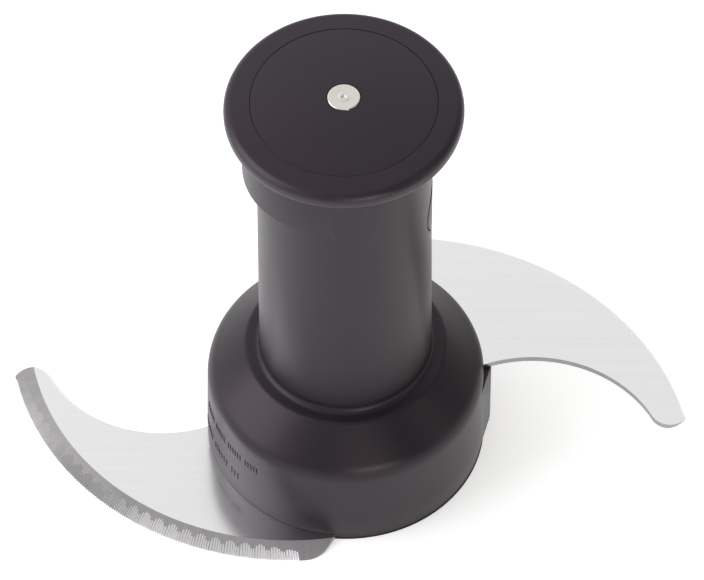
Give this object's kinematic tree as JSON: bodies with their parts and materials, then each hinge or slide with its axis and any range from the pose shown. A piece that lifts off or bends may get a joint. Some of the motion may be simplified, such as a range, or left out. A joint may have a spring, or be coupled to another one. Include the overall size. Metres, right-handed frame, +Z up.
{
  "type": "food processor chopping cutter",
  "caption": "Chopping cutter of a food processor: tall moulded hub with a round grip knob and two curved serrated blades at its foot.",
  "frame": {"origin": "on the drive axis, in the plane of the hub's foot and the lower blade's underside", "axes": "+Z up the drive axis towards the knob, +X towards the upper blade's tip"},
  "size_m": [0.1714, 0.084, 0.1348],
  "materials": {
    "hub_plastic": "satin moulded",
    "inner_plastic": "matte moulded",
    "slip_plastic": "smooth",
    "blade_steel": "fine brushed",
    "stud_steel": "turned",
    "socket_steel": "turned",
    "fastener_steel": "plain",
    "seal_rubber": "matte"
  },
  "bodies": {
    "hub": {"hub_skirt": "hub_plastic", "hub_column": "hub_plastic", "core_tube": "inner_plastic", "base_cover": "inner_plastic", "lower_blade": "blade_steel", "upper_blade": "blade_steel", "blade_spacer": "inner_plastic", "blade_dowels": "fastener_steel", "base_screws": "fastener_steel", "clamp_ring": "fastener_steel", "core_circlip": "fastener_steel", "drive_socket": "socket_steel", "socket_carrier": "inner_plastic", "socket_circlip": "fastener_steel", "lock_housing": "inner_plastic", "lock_spring": "fastener_steel"},
    "lock": {"release_button": "hub_plastic", "button_stem": "fastener_steel", "lock_plate": "socket_steel"},
    "slip_ring": {"slip_ring": "slip_plastic"},
    "knob": {"knob": "hub_plastic", "knob_boss": "hub_plastic", "knob_cap": "hub_plastic", "knob_seal": "seal_rubber", "centre_stud": "stud_steel", "stud_washer": "fastener_steel", "stud_nut": "fastener_steel"}
  },
  "joints": [
    {"name": "button_press", "type": "slide", "parent": "hub", "child": "lock", "axis": [-0.9981, -0.061, 0], "range_m": [0, 0.0014], "stiffness_N_per_m": 1500, "springref_m": -0.002, "deforming": ["lock_spring"]},
    {"name": "knob_rise", "type": "slide", "parent": "hub", "child": "slip_ring", "axis": [0, 0, 1], "range_m": [0, 0.008]},
    {"name": "knob_turn", "type": "hinge", "parent": "slip_ring", "child": "knob", "pos_m": [0, 0, 0.125], "axis": [0, 0, 1], "range_deg": [0, 360]}
  ],
  "couplings": [
    {"joint": "knob_turn", "follows": "knob_rise", "rad_per_m": 785.4}
  ]
}
